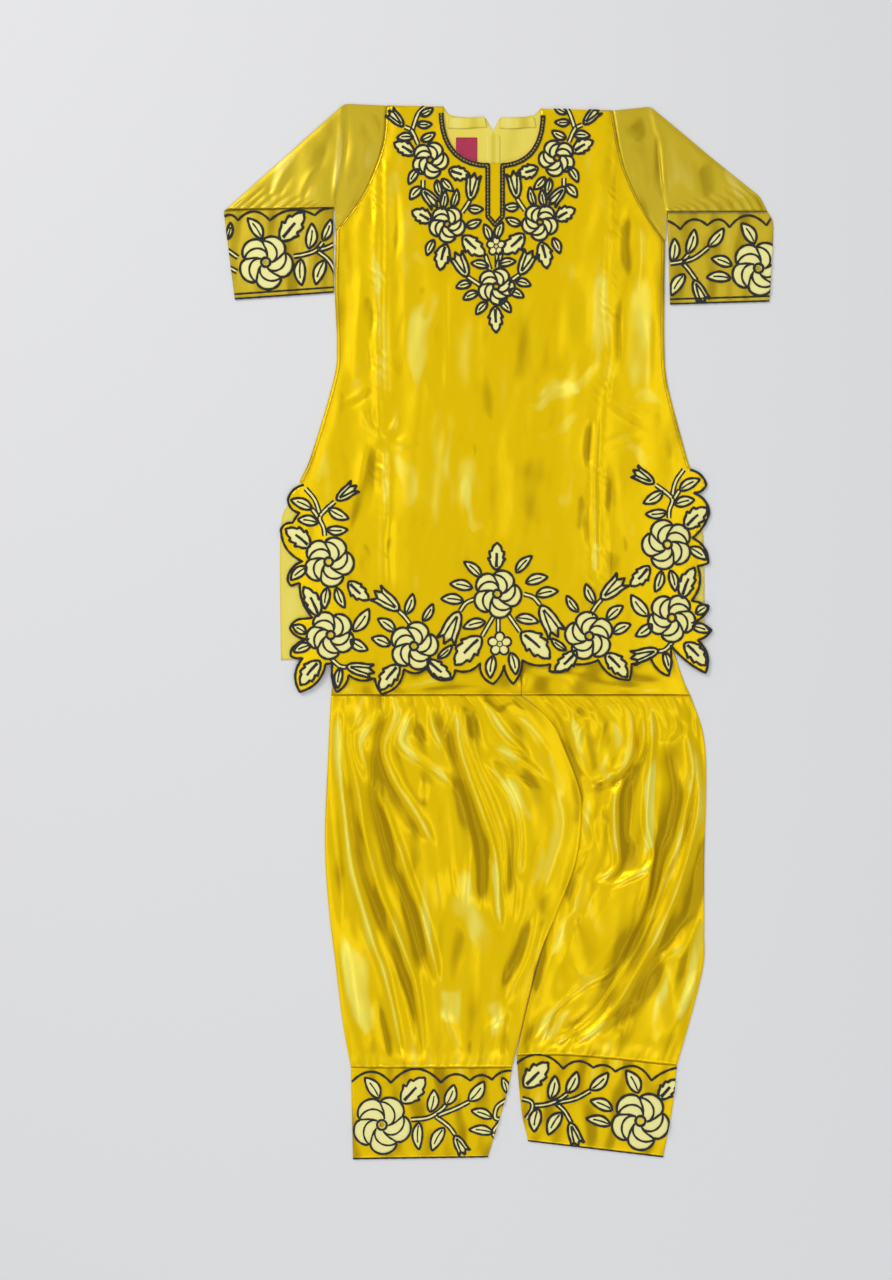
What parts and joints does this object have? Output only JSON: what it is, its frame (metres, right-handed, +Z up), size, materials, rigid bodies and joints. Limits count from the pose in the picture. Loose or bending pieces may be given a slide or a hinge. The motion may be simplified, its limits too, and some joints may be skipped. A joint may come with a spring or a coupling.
{
  "type": "salwar kameez suit",
  "caption": "Salwar kameez suit laid flat: golden satin tunic with floral cord embroidery and cutwork hem, over pleated trousers with embroidered ankle cuffs.",
  "frame": {"origin": "on the surface that the suit lies on, under the middle of its lay", "axes": "+Z up from the surface to the front of the suit, +Y towards the shoulders, +X to the right as seen from above with the shoulders away from the viewer"},
  "size_m": [0.8233, 1.5796, 0.0098],
  "materials": {
    "satin": "satin sheen",
    "satin_reverse": "dull side of the satin",
    "braid": "black and old gold flat braid",
    "embroidery_thread": "cream thread with a black cord outline",
    "label": "plain"
  },
  "bodies": {
    "root": {"ankle_cuff_left": "satin", "ankle_cuff_right": "satin", "ankle_flower_left": "embroidery_thread", "ankle_flower_right": "embroidery_thread", "back_opening_stand": "satin_reverse", "cuff_flower_left": "embroidery_thread", "cuff_flower_right": "embroidery_thread", "hem_flower_bud": "embroidery_thread", "hem_flower_centre": "embroidery_thread", "hem_flower_left_1": "embroidery_thread", "hem_flower_left_2": "embroidery_thread", "hem_flower_left_3": "embroidery_thread", "hem_flower_right_1": "embroidery_thread", "hem_flower_right_2": "embroidery_thread", "hem_flower_right_3": "embroidery_thread", "kameez_back": "satin", "kameez_front": "satin", "leg_left": "satin", "leg_right": "satin", "neck_braid": "braid", "neck_facing_left": "satin_reverse", "neck_facing_right": "satin_reverse", "neck_flower_bud": "embroidery_thread", "neck_flower_centre": "embroidery_thread", "neck_flower_left_1": "embroidery_thread", "neck_flower_left_2": "embroidery_thread", "neck_flower_right_1": "embroidery_thread", "neck_flower_right_2": "embroidery_thread", "neck_label": "label", "salwar_belt": "satin", "sleeve_cuff_left": "satin", "sleeve_cuff_right": "satin", "sleeve_left": "satin", "sleeve_right": "satin"}
  },
  "joints": []
}
